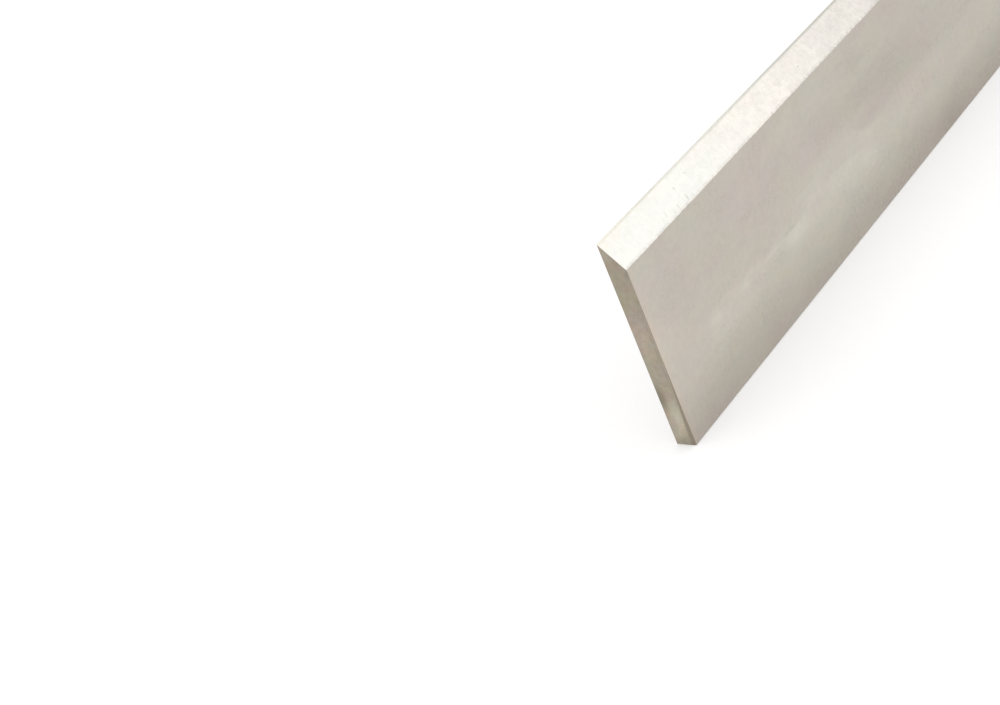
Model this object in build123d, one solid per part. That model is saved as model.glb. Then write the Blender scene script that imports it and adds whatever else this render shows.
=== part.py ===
from build123d import *

import os
from math import cos, radians, sin, tan

# Ground blank, in millimetres: the width runs from the spine to the cutting edge
knife_length = 310.0
knife_width = 30.0
knife_thickness = 3.0

# Bevel and the honed land along the cutting edge, with angles from the flat back in degrees
bevel_angle = 39.0
land_angle = 43.0
land_width = 0.3

# Light 45 degree breaks on the long edges of the spine and on both ends
spine_break = 0.1
end_break = 0.06

# Low corner of the near end, dubbed by hand: up its edge, across the end and along the front
dub_height = 12.0
dub_across = 0.78
dub_along = 0.12

# Faces that the knife is built between
front = -knife_thickness / 2
back = knife_thickness / 2
near_end = -knife_length / 2


def knife_section():
    """Section across the knife, standing on its spine with the bevel ground on the front."""
    cutting_edge = (back, knife_width)
    land_foot = (
        back - land_width * sin(radians(land_angle)),
        knife_width - land_width * cos(radians(land_angle)),
    )
    bevel_rise = (land_foot[0] - front) / tan(radians(bevel_angle))
    heel = (front, land_foot[1] - bevel_rise)
    outline = Polyline((front, 0), (back, 0), cutting_edge, land_foot, heel, close=True)
    section = make_face(outline)
    spine_corners = section.vertices().group_by(Axis.Y)[0]
    return chamfer(spine_corners, spine_break)


def broken_rectangle(along, across):
    """Rectangle of one of the knife's views, with the break of its ends at each corner."""
    view = Rectangle(along, across)
    return chamfer(view.vertices(), end_break)


def ground_bar():
    """Straight bar where the section meets the outlines from above and from the front."""
    section = extrude(Plane.YZ * knife_section(), knife_length / 2, both=True)
    from_above = extrude(broken_rectangle(knife_length, knife_thickness), knife_width)
    standing = Plane.XZ * Pos(0, knife_width / 2) * broken_rectangle(knife_length, knife_width)
    from_front = extrude(standing, knife_thickness / 2, both=True)
    return section & from_above & from_front


def dub_plane():
    """Plane across the low front corner of the near end, facing out of the knife."""
    on_end = Vector(near_end, front + dub_across, 0)
    on_front = Vector(near_end + dub_along, front, 0)
    on_edge = Vector(near_end, front, dub_height)
    outwards = (on_edge - on_front).cross(on_end - on_front)
    return Plane(origin=on_front, x_dir=on_end - on_front, z_dir=outwards)


def planer_knife():
    """One hardened steel bar, ground all over."""
    return split(ground_bar(), bisect_by=dub_plane(), keep=Keep.BOTTOM)


os.makedirs("parts", exist_ok=True)
export_step(planer_knife(), "parts/planer_knife.step")
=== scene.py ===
from math import cos, pi, radians, sin, tan

import bmesh
import bpy
from mathutils import Euler, Matrix, Vector, noise


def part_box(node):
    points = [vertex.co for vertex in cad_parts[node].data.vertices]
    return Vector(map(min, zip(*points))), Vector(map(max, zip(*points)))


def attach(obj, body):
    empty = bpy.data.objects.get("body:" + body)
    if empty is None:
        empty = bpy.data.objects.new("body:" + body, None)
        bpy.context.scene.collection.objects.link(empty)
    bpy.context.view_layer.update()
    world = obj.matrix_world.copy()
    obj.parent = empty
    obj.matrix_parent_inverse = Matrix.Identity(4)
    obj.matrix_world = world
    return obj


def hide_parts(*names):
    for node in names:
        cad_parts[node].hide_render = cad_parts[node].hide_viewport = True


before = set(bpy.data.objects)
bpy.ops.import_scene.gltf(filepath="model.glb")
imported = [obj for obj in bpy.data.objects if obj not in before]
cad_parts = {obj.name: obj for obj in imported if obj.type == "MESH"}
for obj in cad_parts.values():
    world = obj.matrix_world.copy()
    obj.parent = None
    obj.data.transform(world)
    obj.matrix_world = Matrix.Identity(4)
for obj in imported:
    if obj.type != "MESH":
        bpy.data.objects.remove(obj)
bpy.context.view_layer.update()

# The knife's landmarks in the row frame, in metres
mm = 0.001
low_corner, high_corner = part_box("planer_knife")
near_end, far_end = low_corner.x, high_corner.x
front, back = low_corner.y, high_corner.y
spine, cutting_edge = low_corner.z, high_corner.z

# Section of the cutting edge as it is ground: across and up, in metres
bevel_angle = radians(39)
land_angle = radians(43)
land_width = 0.3 * mm
land_foot = (back - land_width * sin(land_angle), cutting_edge - land_width * cos(land_angle))
heel = (front, land_foot[1] - (land_foot[0] - front) / tan(bevel_angle))

# The bevel in mm, as the materials take it
heel_height = heel[1] / mm
land_height = land_foot[1] / mm
bevel_rise = (land_foot[1] - heel[1]) / mm
bevel_depth = (land_foot[0] - heel[0]) / mm

# Dubbed low corner of the near end in mm: across the end and along the front at its foot, and up
dub_across = 0.78
dub_along = 0.12
dub_height = 12.0

# Camera that the photograph was taken with, found from the knife's straight edges
camera_from_near_corner = Vector((-129.5, -120.9, 112.7)) * mm
camera_pitch = radians(26.88)
camera_heading = radians(41.26)
camera_roll = radians(-24.36)
camera_lens = 59.77
sensor_width = 36.0
nearest_seen = 5 * mm

# Floor and sky, which are seen white and light the knife at a plain level
floor_half_width = 6.0
floor_drop = 0.01 * mm
floor_colour = (0.8, 0.8, 0.8)
floor_lift = 0.29
sky_level = 0.9

# Softboxes: the bevel mirrors the key, and its brightness adds to the white sky behind it
key_aim = Vector((near_end + 20 * mm, front, 28 * mm))
key_distance = 0.6
key_azimuth = radians(38)
key_height = radians(27)
key_size = (0.52, 0.28)
key_radiance = 0.82
overhead_place = Vector((-0.1, 0.15, 0.9))
overhead_size = (0.9, 0.9)
overhead_radiance = 0.35

# Rounding of the sharp corners, and which angles between faces are flat and which are sharp
edge_rounding = 0.02 * mm
rounding_segments = 2
flat_angle = radians(0.5)
sharp_angles = (radians(20), radians(125))
weld_distance = 0.001 * mm
cut_tolerance = 1e-8

# Fine slices along the knife, and the bands beside the heel, the land and the ends
slice_length = 0.2 * mm
end_margin = 0.5 * mm
heel_margin = 0.25 * mm
land_margin = 0.2 * mm

# Wear of the edges: how far each strays, its waves' lengths, and how near its vertices lie to it
heel_wander = 0.05 * mm
heel_waves = (0.7 * mm, 4 * mm)
heel_reach = 0.08 * mm
land_wander = 0.04 * mm
land_waves = (1.2 * mm, 9 * mm)
land_reach = 0.02 * mm
edge_wander = 0.012 * mm
edge_wave = 0.6 * mm
edge_reach = 0.01 * mm

# Colours of the ground steel, where white light falls on it: plain, but for the painted light noted
# below
face_mauve = (0.528, 0.474, 0.430)
face_green = (0.522, 0.493, 0.423)
near_bevel = (0.592, 0.588, 0.556)
# The bevel takes on the far bevel's creamier tone from 12 to 42 mm along the knife: a painted
# falloff of the key's reflection
far_bevel_painted_falloff = (0.587, 0.558, 0.518)
land_colour = (0.528, 0.516, 0.463)
end_brown = (0.376, 0.315, 0.256)
end_green = (0.358, 0.330, 0.254)
# Painted shade: the breaks and the dubbed corner are dark, standing for the shadow that they mirror
break_shade_colour = (0.275, 0.238, 0.186)

# Finish of each steel: least roughness, what its marks add to that, their depth in mm, and how
# far they draw out highlights
face_finish = (0.242, 0.05, 0.00006, 0.5)
bevel_finish = (0.25, 0.05, 0.0004, 0.4)
land_finish = (0.24, 0.05, 0.0006, 0.3)
end_finish = (0.36, 0.1, 0.002, 0.0)
break_finish = (0.3, 0.1, 0.001, 0.0)

# Lean of the grinding marks: along the knife for each mm up
face_lean = 0.14
bevel_lean = -0.3

# Values that nearly all of a noise lies between
noise_low, noise_high = 0.28, 0.72

# Slow changes of level over each steel: the axis, from and to in mm, and the factor at both
face_ramps_and_painted_shade = [
    # Painted shade: the face's first ramp darkens it towards the spine, beyond the contact shadow
    # it mirrors
    ("z", 0.5, 8.5, 0.885, 1.045),
    ("z", 10, 20, 1.0, 0.945),
    ("x", 45, 75, 1.0, 0.955),
    ("x", 95, 140, 1.0, 1.04),
]
bevel_ramps = [
    ("x", 20, 38, 1.009, 1.04),
    ("x", 40.6, 43.4, 1.0, 0.955),
]
land_ramps = [
    ("x", 0, 11, 1.22, 1.06),
    ("x", 20, 46, 1.0, 0.84),
]

# Size of the drawings that the lines below are traced on: length and height in mm, and height
# for a change of level
drawing_length = 100
drawing_height = 20
change_height = 0.1

# Upper edge of a lighter band of painted reflection along the front face: x from the near end and
# z, in mm
reflection_line = [
    (0, 11.9), (11, 12.05), (15, 12.3), (19.5, 11.7), (24.5, 11.7), (29, 11.9), (33, 12.5),
    (37, 14.0), (41, 14.1), (45, 15.0), (49, 15.5), (53, 14.5), (57, 12.9), (61, 12.35),
    (65, 12.85), (69.5, 13.35), (75, 13.1), (100, 12),
]

# How much lighter the painted reflection makes the face below that edge: x, and the change of level
reflection_change = [
    (0, 0), (7, 0), (11, 0.026), (15, 0.044), (20, 0.036), (27, 0.040), (31, 0.028),
    (35, 0.030), (38, 0.055), (42, 0.055), (46, 0.034), (53, 0.036), (56.5, 0.080),
    (60, 0.036), (68, 0.032), (78, 0.022), (100, 0.022),
]

# Sharp upper edge of two lighter, greener lobes of painted reflection below that edge: x and z as
# above
reflection_lobe_line = [
    (0, 11.0), (34, 11.0), (38, 11.3), (42, 12.1), (46, 12.1), (50, 11.65), (54, 11.1),
    (59, 9.4), (100, 8),
]
reflection_lobe_change = 0.055
reflection_lobe_green = 0.3

# Soft greenish spots of painted reflection in and beside the lobes: x from the near end, z, reach
# along x and z in mm, lean in degrees, change of level
reflection_spots = [
    (12.2, 10.9, 2.8, 1.3, 0, 0.060),
    (19.8, 10.8, 1.9, 1.1, 0, 0.065),
    (34.0, 10.1, 4.6, 1.9, 0, 0.068),
    (49.0, 10.4, 8.0, 3.0, 0, 0.035),
    (57.0, 8.4, 6.0, 2.6, 0, 0.035),
]
reflection_spot_warmth = -0.9

# Patches of the front face that look greener, or with a minus more mauve: place and reach as
# above, change of hue
face_tints = [
    (14.0, 25.0, 7.0, 2.2, 0.55),
    (9.0, 7.0, 6.0, 2.0, 0.35),
    (38.0, 7.5, 18.0, 4.5, 0.40),
    (71.0, 15.0, 7.0, 2.5, 0.70),
    (60.0, 21.0, 4.5, 2.2, 0.50),
    (62.0, 5.5, 7.0, 2.2, 0.45),
    (3.0, 24.5, 4.0, 3.0, 0.50),
    (25.0, 21.0, 8.0, 4.5, -0.45),
    (43.0, 18.0, 10.0, 3.0, -0.35),
    (60.0, 14.5, 8.0, 2.5, -0.50),
]

# Other marks on the front face, like the spots but without their hue; some are painted light, as
# noted
face_marks_and_painted_light = [
    (54.0, 18.0, 15.0, 3.2, 0, -0.040),
    (65.0, 16.2, 16.0, 5.6, 0, -0.075),
    (77.0, 15.0, 14.0, 4.5, 0, -0.040),
    (49.0, 21.8, 10.0, 0.8, 0, 0.020),
    (48.0, 19.8, 10.0, 3.6, 0, -0.045),
    (59.0, 22.0, 5.0, 2.0, 0, -0.045),
    (58.5, 14.0, 5.5, 1.3, 0, -0.045),
    (28.0, 8.9, 5.0, 2.2, 0, -0.045),
    (15.0, 8.6, 9.0, 2.6, 0, 0.030),
    (24.5, 13.1, 3.0, 0.9, 0, -0.030),
    (30.0, 16.5, 16.0, 4.5, 0, -0.010),
    (57.0, 23.5, 4.5, 1.2, 0, -0.025),
    # The next five lie along the upper edges of the painted reflection and its lobes, and are
    # painted reflection too: bright streaks and a thin dark line
    (39.4, 11.9, 4.6, 0.9, 0, 0.040),
    (27.9, 11.0, 4.6, 0.5, 0, 0.075),
    (49.0, 12.0, 3.0, 0.4, 0, -0.035),
    (21.5, 11.8, 2.0, 0.30, 0, 0.055),
    (32.9, 11.25, 3.4, 0.34, 0, -0.090),
    (68.5, 9.8, 7.0, 3.2, 0, 0.030),
    (13.0, 9.3, 0.45, 0.35, 0, -0.09),
    (4.4, 9.2, 0.8, 0.5, 20, 0.035),
    # The next two, at the face's edge by the near end, are a painted highlight where that edge
    # catches the light
    (1.0, 21.2, 0.9, 0.5, 0, 0.05),
    (0.0, 15.0, 1.5, 9.0, 0, 0.030),
    (0.0, 18.0, 9.0, 17.0, 0, 0.050),
    (27.5, 6.1, 0.5, 0.4, 0, -0.05),
    (28.2, 19.2, 0.8, 0.14, 35, 0.05),
    (28.9, 18.7, 0.5, 0.12, -50, 0.04),
    (14.0, 17.0, 2.0, 1.4, 0, -0.015),
    (80.0, 1.5, 9.0, 4.0, 0, -0.09),
]

# Marks on the bevel: x from the near end, share of the way from the heel to the cutting edge,
# and the rest as above
bevel_marks = [
    (15.2, 0.60, 0.30, 0.28, 0, -0.20),
    (18.5, 0.69, 0.28, 0.26, 0, -0.16),
    (47.6, 0.44, 0.28, 0.22, 0, -0.20),
    (48.0, 0.47, 0.20, 0.16, 0, 0.08),
    (15.6, 0.17, 0.24, 0.60, -25, -0.22),
    (13.4, 0.17, 0.26, 0.50, -25, -0.15),
    (12.4, 0.12, 0.30, 0.40, -25, -0.10),
    (11.0, 0.27, 0.28, 0.60, -25, -0.10),
    (9.9, 0.20, 0.30, 0.50, -25, -0.07),
    (16.6, 0.10, 0.30, 0.36, -25, -0.08),
    (23.9, 0.34, 0.26, 0.40, -25, -0.12),
    (13.0, 0.12, 4.5, 0.80, 0, -0.030),
    (4.7, 0.50, 0.16, 1.60, -15, -0.04),
    (37.1, 0.54, 0.80, 0.60, 0, -0.035),
    (42.4, 0.50, 0.90, 0.50, 0, -0.025),
    (35.8, 0.69, 0.50, 0.35, 0, -0.025),
    (52.3, 0.52, 3.2, 1.5, 0, 0.06),
]

# Lighter and darker patches on the near end: y from the front face, z, reach along y and z in mm,
# change of level
end_patches_and_painted_shade = [
    (1.5, 27.0, 6.0, 11.0, -0.085),
    (1.8, 16.0, 2.5, 4.6, 0.11),
    (1.3, 4.2, 2.1, 4.4, 0.36),
    (2.75, 7.2, 1.5, 3.4, -0.36),
    (1.3, 0.8, 0.9, 1.1, -0.12),
    (2.2, 1.6, 1.2, 1.6, 0.10),
    # The next three are painted shade: the end darker along its front edge, beside the break there
    (0.38, 14.0, 0.30, 15.0, -0.10),
    (0.2, 25.6, 0.5, 1.3, -0.12),
    (0.1, 21.4, 0.3, 1.4, -0.10),
    (2.3, 28.3, 1.0, 1.7, 0.14),
]

# Patches of the near end that look greener, or with a minus browner: place and reach as above,
# change of hue
end_tints = [
    (1.6, 17.2, 3.5, 5.0, -0.70),
    (1.5, 22.2, 4.0, 2.6, 0.80),
    (2.0, 9.0, 2.4, 3.0, 0.70),
]

# How deep the marks reach into the knife, in mm: those of the front and the end, and the bevel's
mark_depth = 1.0
bevel_mark_depth = 3.0


def link(thing):
    bpy.context.scene.collection.objects.link(thing)
    return thing


def make_camera():
    """The photograph's view: down on the near end, with the knife running away to the right."""
    data = bpy.data.cameras.new("camera")
    data.lens = camera_lens
    data.sensor_width = sensor_width
    data.clip_start = nearest_seen
    data.clip_end = 10 * floor_half_width
    camera = link(bpy.data.objects.new("camera", data))
    level = Euler((radians(90) - camera_pitch, 0, -camera_heading)).to_matrix()
    turn = level @ Matrix.Rotation(camera_roll, 3, "Z")
    place = Vector((near_end, front, spine)) + camera_from_near_corner
    camera.matrix_world = Matrix.Translation(place) @ turn.to_4x4()
    bpy.context.scene.camera = camera


class Shader:
    """Builds the node tree of a material or world. Each call adds a step and returns its output."""

    def __init__(self, owner):
        owner.use_nodes = True
        self.tree = owner.node_tree
        self.tree.nodes.clear()

    def node(self, kind, inputs=None, **settings):
        made = self.tree.nodes.new(kind)
        for name, value in settings.items():
            setattr(made, name, value)
        for name, value in (inputs or {}).items():
            self.give(made.inputs[name], value)
        return made

    def give(self, socket, value):
        if isinstance(value, bpy.types.NodeSocket):
            self.tree.links.new(value, socket)
        else:
            socket.default_value = value

    def finish(self, kind, surface):
        self.give(self.node(kind).inputs["Surface"], surface)

    def math(self, operation, a, b=0.0, c=0.0):
        return self.node("ShaderNodeMath", {0: a, 1: b, 2: c}, operation=operation).outputs[0]

    def vector(self, operation, a, b=(0, 0, 0)):
        made = self.node("ShaderNodeVectorMath", {0: a, 1: b}, operation=operation)
        return made.outputs["Value" if operation == "LENGTH" else "Vector"]

    def axes(self, vector):
        return self.node("ShaderNodeSeparateXYZ", {0: vector}).outputs[:3]

    def joined(self, x, y=0.0, z=0.0):
        return self.node("ShaderNodeCombineXYZ", {0: x, 1: y, 2: z}).outputs[0]

    def place(self):
        """Where a point is, in mm: x from the near end, y from the front face, z from the spine."""
        at = self.node("ShaderNodeTexCoord").outputs["Object"]
        shifted = self.vector("SUBTRACT", at, (near_end, front, spine))
        return self.vector("MULTIPLY", shifted, (1 / mm, 1 / mm, 1 / mm))

    def leaning(self, place, slope):
        """The place sheared along x, so that what is even in z leans by the slope."""
        shift = self.math("MULTIPLY", self.axes(place)[2], -slope)
        return self.vector("ADD", place, self.joined(shift))

    def between(self, value, low, high, start=0.0, end=1.0):
        """Smooth step from start to end as the value goes from low to high."""
        inputs = {0: value, 1: low, 2: high, 3: start, 4: end}
        made = self.node("ShaderNodeMapRange", inputs, interpolation_type="SMOOTHSTEP")
        return made.outputs[0]

    def product(self, *factors):
        result = factors[0]
        for factor in factors[1:]:
            result = self.math("MULTIPLY", result, factor)
        return result

    def marked(self, level, mask, change):
        """The level changed by a share of itself where the mask is 1."""
        return self.math("MULTIPLY", level, self.math("MULTIPLY_ADD", mask, change, 1.0))

    def added(self, value, mask, change):
        """The value with the change added where the mask is 1."""
        return self.math("MULTIPLY_ADD", mask, change, value)

    def ramps(self, place, table):
        """Factor made of slow changes along the axes."""
        axes = dict(zip("xyz", self.axes(place)))
        return self.product(*(self.between(axes[axis], *change) for axis, *change in table))

    def traced(self, x, points, height):
        """Smooth line along the knife, through points of a drawing of the given height."""
        share = self.math("DIVIDE", x, drawing_length)
        drawn = self.node("ShaderNodeFloatCurve", {"Value": share})
        line = drawn.mapping.curves[0]
        line.points[0].location = (0, points[0][1] / height)
        line.points[1].location = (1, points[-1][1] / height)
        for along, up in points[1:-1]:
            line.points.new(along / drawing_length, up / height)
        drawn.mapping.update()
        return self.math("MULTIPLY", drawn.outputs[0], height)

    def noise(self, place, size, detail=2.0, roughness=0.5, distortion=0.0, away=None):
        """Soft noise from 0 to 1 in patches of a size in mm; away picks another part of it."""
        if away:
            place = self.vector("ADD", place, away)
        inputs = {
            "Vector": self.vector("DIVIDE", place, size), "Scale": 1.0,
            "Detail": detail, "Roughness": roughness, "Distortion": distortion,
        }
        return self.node("ShaderNodeTexNoise", inputs).outputs[0]

    def swing(self, value, reach, middle=1.0):
        """A noise spread about the middle, by up to the reach either way."""
        return self.between(value, noise_low, noise_high, middle - reach, middle + reach)

    def specks(self, place, cell, size, share):
        """1 in small round specks, one at most in each cell and in the given share of the cells."""
        scaled = self.vector("DIVIDE", place, (cell, cell, cell))
        cells = self.node("ShaderNodeTexVoronoi", {"Vector": scaled, "Scale": 1.0})
        chosen = self.math("LESS_THAN", self.axes(cells.outputs["Color"])[0], share)
        inside = self.between(cells.outputs["Distance"], size / cell, 0.0)
        return self.math("MULTIPLY", chosen, inside)

    def spot(self, place, centre, reach, lean=0.0):
        """1 at the centre, falling softly to 0 at the reach; the lean is about y, in degrees."""
        offset = self.vector("SUBTRACT", place, centre)
        if lean:
            inputs = {"Vector": offset, "Angle": radians(lean)}
            turned = self.node("ShaderNodeVectorRotate", inputs, rotation_type="Y_AXIS")
            offset = turned.outputs[0]
        return self.between(self.vector("LENGTH", self.vector("DIVIDE", offset, reach)), 1.0, 0.0)

    def front_spot(self, place, x, z, reach_x, reach_z, lean=0.0):
        return self.spot(place, (x, 0, z), (reach_x, mark_depth, reach_z), lean)

    def bevel_spot(self, place, x, share, reach_x, reach_z, lean):
        centre = (x, bevel_depth * share, heel_height + bevel_rise * share)
        return self.spot(place, centre, (reach_x, bevel_mark_depth, reach_z), lean)

    def end_spot(self, place, y, z, reach_y, reach_z):
        return self.spot(place, (0, y, z), (mark_depth, reach_y, reach_z))

    def tint(self, amount, colour, other):
        inputs = {0: amount, 6: (*colour, 1), 7: (*other, 1)}
        return self.node("ShaderNodeMix", inputs, data_type="RGBA").outputs[2]

    def warmed(self, colour, amount, reach):
        """The colour turned cooler where the amount is 0 and warmer where it is 1."""
        cooler, warmer = (1 - reach, 1, 1 + reach), (1 + reach, 1, 1 - reach)
        return self.vector("MULTIPLY", colour, self.tint(amount, cooler, warmer))

    def pinked(self, colour, amount, reach):
        """The colour turned greener where the amount is -1 and pinker where it is 1."""
        green = self.math("MULTIPLY_ADD", amount, -reach, 1.0)
        return self.vector("MULTIPLY", colour, self.joined(1.0, green, 1.0))

    def shade(self, colour, level):
        """The colour made lighter or darker by a factor."""
        inputs = {0: colour, "Scale": level}
        return self.node("ShaderNodeVectorMath", inputs, operation="SCALE").outputs["Vector"]

    def metal(self, colour, finish, relief, uneven=None):
        """Bare metal whose highlights are drawn out across its marks."""
        least_rough, added_rough, depth, drawn_out = finish
        bumps = {"Strength": 1.0, "Distance": depth * mm, "Height": relief}
        across = self.node("ShaderNodeTangent", direction_type="UV_MAP", uv_map="grain")
        marks = relief if uneven is None else uneven
        inputs = {
            "Base Color": colour,
            "Metallic": 1.0,
            "Roughness": self.math("MULTIPLY_ADD", marks, added_rough, least_rough),
            "Normal": self.node("ShaderNodeBump", bumps).outputs[0],
            "Anisotropic": drawn_out,
            "Tangent": across.outputs[0],
        }
        surface = self.node("ShaderNodeBsdfPrincipled", inputs).outputs[0]
        self.finish("ShaderNodeOutputMaterial", surface)


def seen_white(shader):
    """1 for the rays that see the studio as plain white, 0 for those that only light the knife."""
    rays = shader.node("ShaderNodeLightPath").outputs
    seen = shader.math("MAXIMUM", rays["Is Camera Ray"], rays["Is Glossy Ray"])
    return shader.math("MAXIMUM", seen, rays["Is Transmission Ray"])


def make_floor():
    """Plain pale floor that reaches white where nothing shades it, and keeps the knife's shadow."""
    half, z = floor_half_width, spine - floor_drop
    mesh = bpy.data.meshes.new("floor")
    corners = [(-half, -half, z), (half, -half, z), (half, half, z), (-half, half, z)]
    mesh.from_pydata(corners, [], [(0, 1, 2, 3)])
    floor = link(bpy.data.objects.new("floor", mesh))
    material = bpy.data.materials.new("floor")
    shader = Shader(material)
    lit = shader.node("ShaderNodeBsdfDiffuse", {"Color": (*floor_colour, 1)}).outputs[0]
    lift = shader.math("MULTIPLY", seen_white(shader), floor_lift)
    glow = shader.node("ShaderNodeEmission", {"Strength": lift}).outputs[0]
    both = shader.node("ShaderNodeAddShader", {0: lit, 1: glow}).outputs[0]
    shader.finish("ShaderNodeOutputMaterial", both)
    mesh.materials.append(material)


def make_sky():
    """Even light from all round, white where it is seen."""
    world = bpy.data.worlds.new("studio")
    shader = Shader(world)
    strength = shader.math("MULTIPLY_ADD", seen_white(shader), 1 - sky_level, sky_level)
    light = shader.node("ShaderNodeBackground", {"Color": (1, 1, 1, 1), "Strength": strength})
    shader.finish("ShaderNodeOutputWorld", light.outputs[0])
    bpy.context.scene.world = world


def make_softbox(name, place, aim, size, radiance):
    """Rectangular soft lamp of the given radiance."""
    data = bpy.data.lights.new(name, "AREA")
    data.shape = "RECTANGLE"
    data.size, data.size_y = size
    data.energy = radiance * pi * size[0] * size[1]
    lamp = link(bpy.data.objects.new(name, data))
    lamp.location = place
    lamp.rotation_euler = (aim - place).to_track_quat("-Z", "Y").to_euler()


def make_lamps():
    """A key low on the right, in front of the bevel, and a broad lamp overhead."""
    towards_key = Vector((
        sin(key_azimuth) * cos(key_height), -cos(key_azimuth) * cos(key_height), sin(key_height)
    ))
    make_softbox("key", key_aim + towards_key * key_distance, key_aim, key_size, key_radiance)
    make_softbox("overhead", overhead_place, Vector(), overhead_size, overhead_radiance)


def reflection_masks(shader, at):
    """Painted reflection on the front: the lighter band below its wandering upper edge, and the two
    lobes in it.
    """
    x, y, z = shader.axes(at)
    on_front = shader.between(y, 2.0, 1.0)

    # Past what the photograph shows, the line wanders more
    uneven = shader.noise(at, (8.0, 1.0, 30.0), detail=5.0, roughness=0.6)
    uneven = shader.math("SUBTRACT", uneven, 0.5)
    swell = shader.math("MULTIPLY", uneven, shader.between(x, 70, 110, 1.2, 7.0))
    line = shader.math("ADD", shader.traced(x, reflection_line, drawing_height), swell)

    # The line's edge is softer in the middle of what is seen
    soft = shader.product(
        shader.between(x, 42, 45, 0.35, 0.9), shader.between(x, 56, 53, 0.39, 1.0)
    )
    under_line = shader.math("SUBTRACT", line, z)
    below = shader.between(under_line, shader.math("MULTIPLY", soft, -1.0), soft)
    fade_end = shader.between(x, 46, 52, 7.0, 5.6)
    fade_start = shader.between(x, 46, 52, 9.5, 8.3)
    reflection_band = shader.product(on_front, below, shader.between(z, fade_end, fade_start))

    near_lobe = shader.product(shader.between(x, 29.6, 32.4), shader.between(x, 39.5, 35))
    far_lobe = shader.product(shader.between(x, 43, 45.5), shader.between(x, 58, 54))
    under_edge = shader.math("SUBTRACT", shader.traced(x, reflection_lobe_line, drawing_height), z)
    reflection_lobes = shader.product(
        on_front, shader.between(under_edge, -0.15, 0.3), shader.between(z, 6.5, 10.5),
        shader.math("ADD", near_lobe, far_lobe),
    )
    return reflection_band, reflection_lobes


def face_hues(shader, at, reflection_band, reflection_lobes, reflection_spot_masks):
    """How far the flat faces' colour turns green, and how far it turns warm."""
    x, _, z = shader.axes(at)
    hue = shader.noise(at, (8.0, 3.0, 3.2), detail=4.0, distortion=0.5, away=(40, 11, 7))
    warmth = shader.noise(at, (6.0, 3.0, 2.6), detail=3.0, distortion=0.5, away=(90, 5, 31))
    reflection_hue_band = shader.product(reflection_band, shader.between(x, 4, 34, 0.25, 1.0))
    low = shader.between(z, 10.0, 6.0)
    by_spine = shader.between(z, 3.6, 1.6)

    green = shader.between(hue, 0.22, 0.86)
    for mask, change in ((reflection_hue_band, 0.12), (reflection_lobes, reflection_lobe_green), (low, 0.35), (by_spine, -0.35)):
        green = shader.added(green, mask, change)
    for *place, change in face_tints:
        green = shader.added(green, shader.front_spot(at, *place), change)

    warm = shader.between(warmth, 0.3, 0.7)
    warm = shader.added(warm, by_spine, shader.between(x, 45, 72, 0.25, 0.8))
    warm = shader.added(warm, reflection_hue_band, shader.between(x, 50, 70, -0.6, -0.1))
    for spot, _ in reflection_spot_masks:
        green = shader.math("MAXIMUM", green, spot)
        warm = shader.added(warm, spot, reflection_spot_warmth)
    return green, warm


def face_steel(shader, at):
    """Front, back and spine: leaning marks across the width, clouds, and the front's marks, painted
    reflection and painted highlight.
    """
    x = shader.axes(at)[0]
    lean = shader.leaning(at, face_lean)
    fine = shader.noise(lean, (0.22, 9.0, 7.0), detail=3.0, roughness=0.6)
    broad = shader.noise(lean, (2.2, 30.0, 30.0))
    mottle = shader.noise(at, (0.9, 3.0, 0.9), detail=3.0, roughness=0.6)
    cloud = shader.noise(at, (9.0, 2.0, 4.0), detail=4.0, roughness=0.55, distortion=0.6)
    drift = shader.noise(at, (38.0, 2.0, 14.0), detail=3.0)
    level = shader.product(
        shader.swing(fine, 0.003), shader.swing(broad, 0.005), shader.swing(mottle, 0.024),
        shader.swing(cloud, 0.027), shader.swing(drift, 0.010), shader.ramps(at, face_ramps_and_painted_shade),
    )

    # Painted reflection: the lighter band and its lobes
    reflection_band, reflection_lobes = reflection_masks(shader, at)
    reflection_spot_masks = [(shader.front_spot(at, *place), change) for *place, change in reflection_spots]
    marks = [(shader.front_spot(at, *place), change) for *place, change in face_marks_and_painted_light]
    level = shader.marked(level, reflection_band, shader.traced(x, reflection_change, change_height))
    level = shader.marked(level, reflection_lobes, reflection_lobe_change)
    for mask, change in reflection_spot_masks + marks:
        level = shader.marked(level, mask, change)
    level = shader.marked(level, shader.specks(at, cell=5.0, size=0.35, share=0.25), -0.04)

    green, warm = face_hues(shader, at, reflection_band, reflection_lobes, reflection_spot_masks)
    colour = shader.shade(shader.tint(green, face_mauve, face_green), level)
    colour = shader.warmed(colour, warm, 0.013)
    # Painted highlight: warmer and creamier along the face's edge by the near end, where it catches
    # the light
    colour = shader.warmed(colour, shader.between(x, 1.6, 0.2, 0.5, 1.0), 0.03)
    shader.metal(colour, face_finish, fine, uneven=shader.added(cloud, fine, 0.5))


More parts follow.
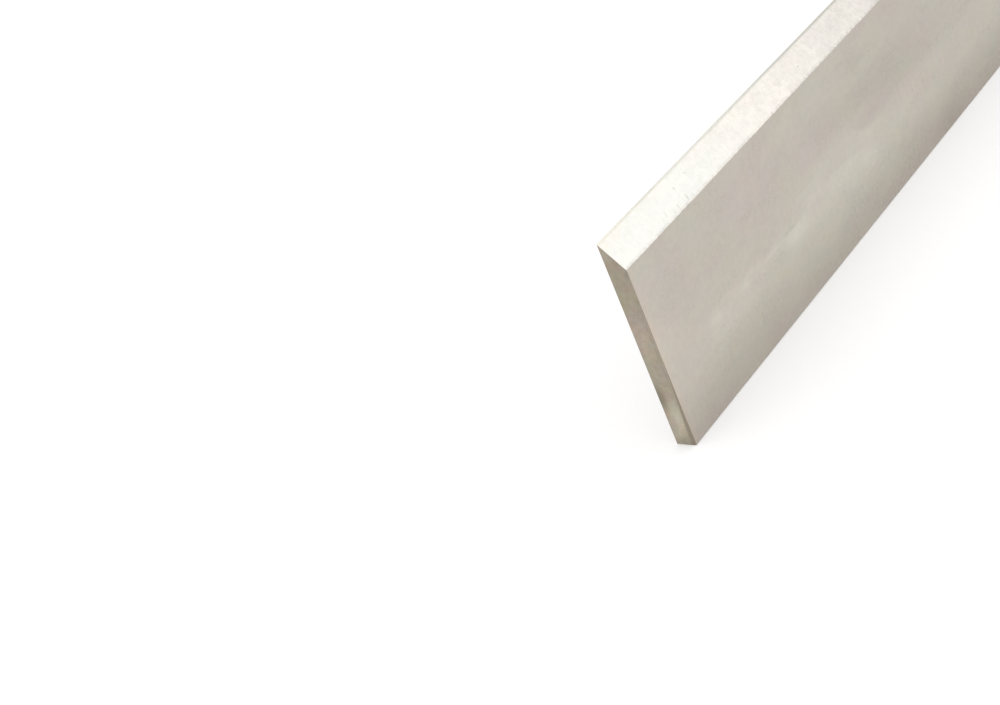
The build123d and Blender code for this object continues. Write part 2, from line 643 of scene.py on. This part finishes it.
def bevel_steel(shader, at):
    """Freshly ground bevel: brighter, with marks across it, specks and a few short dark strokes."""
    x, _, z = shader.axes(at)
    lean = shader.leaning(at, bevel_lean)
    fine = shader.noise(lean, (0.16, 6.0, 6.0), detail=3.0, roughness=0.6)
    broad = shader.noise(lean, (1.4, 9.0, 9.0))
    mottle = shader.noise(at, (0.8, 0.8, 0.8), roughness=0.6)
    cloud = shader.noise(at, (5.0, 2.5, 2.5), detail=4.0, roughness=0.55)
    grit = shader.noise(at, (0.45, 0.4, 0.4))
    hue = shader.noise(at, (4.0, 2.0, 2.0), detail=3.0, distortion=0.5, away=(17, 3, 9))
    level = shader.product(
        shader.swing(fine, 0.006), shader.swing(broad, 0.012), shader.swing(cloud, 0.034),
        shader.ramps(at, bevel_ramps),
    )
    patchy = shader.product(
        shader.swing(mottle, 1.0, middle=0.0), shader.between(x, 10, 42, 0.55, 1.25)
    )
    level = shader.marked(level, patchy, 0.037)
    for *place, change in bevel_marks:
        level = shader.marked(level, shader.bevel_spot(at, *place), change)
    level = shader.marked(level, shader.specks(at, cell=2.2, size=0.12, share=0.2), -0.08)

    # Gritty along the heel, darker by the land, and lighter on the way up to it
    by_heel = shader.between(z, heel_height + 0.42, heel_height + 0.05)
    gritty = shader.product(by_heel, shader.between(grit, 0.3, 0.7, 0.3, 1.7))
    by_land = shader.between(z, land_height - 0.2, land_height - 0.03)
    dark = shader.product(by_land, shader.between(x, 8, 34, 0.045, 0.12))
    upper = shader.between(z, heel_height + 0.5 * bevel_rise, heel_height + 0.9 * bevel_rise)
    for mask, change in ((gritty, -0.09), (dark, -1.0), (upper, 0.018)):
        level = shader.marked(level, mask, change)

    # Painted falloff of the key's reflection: creamier from 12 to 42 mm along the knife, and
    # unevenly with the clouds
    warm = shader.math("ADD", shader.between(x, 12, 42), shader.between(cloud, 0.3, 0.7, -0.2, 0.2))
    warm = shader.added(warm, by_heel, 0.5)
    warm = shader.added(warm, upper, shader.between(x, 6, 0.5, 0.35, 1.1))
    pink = shader.product(
        shader.between(hue, 0.35, 0.65, -1.0, 1.0), shader.between(x, 20, 40, 0.5, 1.0)
    )
    pink = shader.added(pink, upper, -0.6)
    colour = shader.shade(shader.tint(warm, near_bevel, far_bevel_painted_falloff), level)
    colour = shader.pinked(colour, pink, 0.012)
    shader.metal(colour, bevel_finish, fine)


def land_steel(shader, at):
    """Honed land: fine marks along the edge."""
    x = shader.axes(at)[0]
    fine = shader.noise(at, (5.0, 0.06, 0.06))
    patch = shader.noise(at, (1.2, 1.0, 1.0))
    level = shader.product(
        shader.swing(fine, 0.04), shader.swing(patch, 0.03), shader.ramps(at, land_ramps)
    )
    colour = shader.shade(land_colour, level)
    colour = shader.warmed(colour, shader.between(x, 12, 2, 0.5, 1.0), 0.02)
    shader.metal(colour, land_finish, fine)


def end_steel(shader, at):
    """Cut ends: duller, with marks across the thickness, and the near end's patches and painted
    shade.
    """
    fine = shader.noise(at, (1.0, 2.5, 0.16), detail=3.0, roughness=0.6)
    mottle = shader.noise(at, (2.0, 0.8, 0.9), detail=3.0, roughness=0.6)
    hue = shader.noise(at, (4.0, 3.0, 3.5), detail=3.0, away=(5, 9, 2))
    warmth = shader.noise(at, (4.0, 2.0, 2.6), detail=3.0, away=(13, 1, 27))
    level = shader.product(shader.swing(fine, 0.035), shader.swing(mottle, 0.07))
    for *place, change in end_patches_and_painted_shade:
        level = shader.marked(level, shader.end_spot(at, *place), change)
    green = shader.between(hue, 0.36, 0.64)
    for *place, change in end_tints:
        green = shader.added(green, shader.end_spot(at, *place), change)
    colour = shader.shade(shader.tint(green, end_brown, end_green), level)
    colour = shader.warmed(colour, shader.between(warmth, 0.35, 0.65), 0.028)
    shader.metal(colour, end_finish, fine)


def break_steel(shader, at):
    """Breaks and dubbed corner, rubbed by hand: dark with painted shade, standing for the shadow
    that they mirror.
    """
    x, y, z = shader.axes(at)
    fine = shader.noise(at, (0.3, 0.12, 0.5), detail=3.0)

    # The dubbed corner turns browner towards its inner edge, which runs up and out
    width = shader.math("MULTIPLY_ADD", z, -dub_across / dub_height, dub_across)
    across = shader.math("DIVIDE", y, shader.math("MAXIMUM", width, 0.01))
    inner = shader.product(
        shader.between(across, 0.55, 1.0), shader.math("LESS_THAN", x, 0.2),
        shader.math("LESS_THAN", y, dub_across),
    )
    colour = shader.tint(shader.math("MULTIPLY", inner, 0.6), break_shade_colour, end_brown)
    colour = shader.shade(colour, shader.swing(fine, 0.08))
    shader.metal(colour, break_finish, fine)


# Each steel, what paints it and the ways that its zone of the knife faces
diagonal = cos(radians(45))
dub_facing = -Vector((1 / dub_along, 1 / dub_across, 1 / dub_height)).normalized()
zones = {
    "ground_face": (face_steel, [(0, -1, 0), (0, 1, 0), (0, 0, -1)]),
    "ground_bevel": (bevel_steel, [(0, -cos(bevel_angle), sin(bevel_angle))]),
    "honed_land": (land_steel, [(0, -cos(land_angle), sin(land_angle))]),
    "cut_end": (end_steel, [(-1, 0, 0), (1, 0, 0)]),
    "broken_edges": (break_steel, [
        dub_facing,
        (0, -diagonal, -diagonal), (0, diagonal, -diagonal),
        (-diagonal, -diagonal, 0), (-diagonal, diagonal, 0),
        (diagonal, -diagonal, 0), (diagonal, diagonal, 0),
        (-diagonal, 0, -diagonal), (diagonal, 0, -diagonal),
    ]),
}


def zone_of(face):
    """The zone that faces most nearly the way that this face does."""
    return max(zones, key=lambda zone: max(face.normal.dot(Vector(way)) for way in zones[zone][1]))


def make_steel(name, paint):
    material = bpy.data.materials.new(name)
    shader = Shader(material)
    paint(shader, shader.place())
    return material


def cut(form, place, across):
    geometry = form.verts[:] + form.edges[:] + form.faces[:]
    bmesh.ops.bisect_plane(
        form, geom=geometry, dist=cut_tolerance, plane_co=place, plane_no=across
    )


def ground_form(cad):
    """The CAD knife with whole flat faces and rounded sharp corners, cut into fine slices."""
    form = bmesh.new()
    form.from_mesh(cad.data)
    bmesh.ops.remove_doubles(form, verts=form.verts, dist=weld_distance)
    bmesh.ops.dissolve_limit(form, angle_limit=flat_angle, verts=form.verts, edges=form.edges)
    least, most = sharp_angles
    rounded = [edge for edge in form.edges if least < edge.calc_face_angle() < most]
    bmesh.ops.bevel(
        form, geom=rounded, offset=edge_rounding, offset_type="OFFSET",
        segments=rounding_segments, profile=0.5, affect="EDGES", clamp_overlap=True,
    )
    for vertex in form.verts:
        vertex.co.x = max(vertex.co.x, near_end)
    for z in (heel[1] - heel_margin, heel[1] + heel_margin, land_foot[1] - land_margin):
        cut(form, (0, 0, z), (0, 0, 1))
    for x in (near_end + end_margin, far_end - end_margin):
        cut(form, (x, 0, 0), (1, 0, 0))
    length = far_end - near_end - 2 * end_margin
    lengthways = [
        edge for edge in form.edges
        if abs(edge.verts[0].co.x - edge.verts[1].co.x) > length - slice_length / 2
    ]
    slices = 2 * round(length / slice_length / 2)
    bmesh.ops.subdivide_edges(form, edges=lengthways, cuts=slices - 1, use_grid_fill=True)
    return form


def wander(x, wave, reach, row):
    """Smooth uneven offset along the knife, up to about the reach either way."""
    return reach * noise.noise(Vector((x / wave, row, 0)))


def wear_edges(form):
    """The heel and the land's foot wander a little, and the cutting edge isn't quite even."""
    slope = Vector((0, sin(bevel_angle), cos(bevel_angle)))
    for vertex in form.verts:
        x, y, z = vertex.co
        if not near_end + end_margin < x < far_end - end_margin:
            continue
        if max(abs(y - heel[0]), abs(z - heel[1])) < heel_reach:
            short, long = heel_waves
            vertex.co.z += wander(x, short, heel_wander, 1) + wander(x, long, heel_wander, 2)
        elif max(abs(y - land_foot[0]), abs(z - land_foot[1])) < land_reach:
            short, long = land_waves
            stray = wander(x, short, land_wander, 3) + wander(x, long, land_wander, 4)
            vertex.co += slope * stray
        elif z > cutting_edge - edge_reach:
            vertex.co.z -= abs(wander(x, edge_wave, edge_wander, 5))


# Share of a polygon's normal along an axis, past which the maps lay it out with that side
end_facing = 0.75
side_facing = 0.6
spine_facing = -0.6
bevel_facing = 0.3


def lay_grain(mesh):
    """UV map whose u runs along the knife, and up its ends."""
    grain = mesh.uv_layers.new(name="grain")
    for polygon in mesh.polygons:
        facing = polygon.normal
        for loop in polygon.loop_indices:
            x, y, z = mesh.vertices[mesh.loops[loop].vertex_index].co
            if abs(facing.x) > diagonal:
                place = (z, y)
            elif abs(facing.y) > side_facing:
                place = (x, z)
            else:
                place = (x, y)
            grain.data[loop].uv = place


def lay_bake_map(mesh):
    """UV map for baking: both halves of the length unrolled one above the other, then the ends."""
    bake = mesh.uv_layers.new(name="OFBake")
    gap = 1 * mm
    half = (far_end - near_end) / 2
    bevel_row = back - front + gap
    front_row = bevel_row + (back - front) / sin(bevel_angle) + gap
    back_row = front_row + heel[1] - spine + gap
    strip = back_row + cutting_edge - spine + gap
    sheet = half + 2 * gap
    for polygon in mesh.polygons:
        facing = polygon.normal
        side = polygon.center.x > (near_end + far_end) / 2
        for loop in polygon.loop_indices:
            x, y, z = mesh.vertices[mesh.loops[loop].vertex_index].co
            along, up = x - near_end - half * side, strip * side
            if abs(facing.x) > end_facing:
                along = z - spine + (cutting_edge - spine + gap) * side
                up = 2 * strip + y - front
            elif facing.z < spine_facing:
                up += y - front
            elif facing.z > bevel_facing:
                up += bevel_row + (y - front) / sin(bevel_angle)
            elif facing.y < 0:
                up += front_row + z - spine
            else:
                up += back_row + z - spine
            bake.data[loop].uv = ((along + gap) / sheet, (up + gap) / sheet)


def make_knife():
    """The ground knife, made from the plain CAD solid that it stands for."""
    form = ground_form(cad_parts["planer_knife"])
    form.normal_update()
    names = list(zones)
    for face in form.faces:
        face.material_index = names.index(zone_of(face))
    wear_edges(form)
    form.normal_update()
    mesh = bpy.data.meshes.new("ground_knife")
    form.to_mesh(mesh)
    form.free()
    for name, (paint, _) in zones.items():
        mesh.materials.append(make_steel(name, paint))
    lay_grain(mesh)
    lay_bake_map(mesh)
    knife = link(bpy.data.objects.new("ground_knife", mesh))
    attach(knife, "root")
    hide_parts("planer_knife")


make_knife()
make_camera()
make_floor()
make_sky()
make_lamps()
bpy.context.scene.view_settings.view_transform = "Standard"
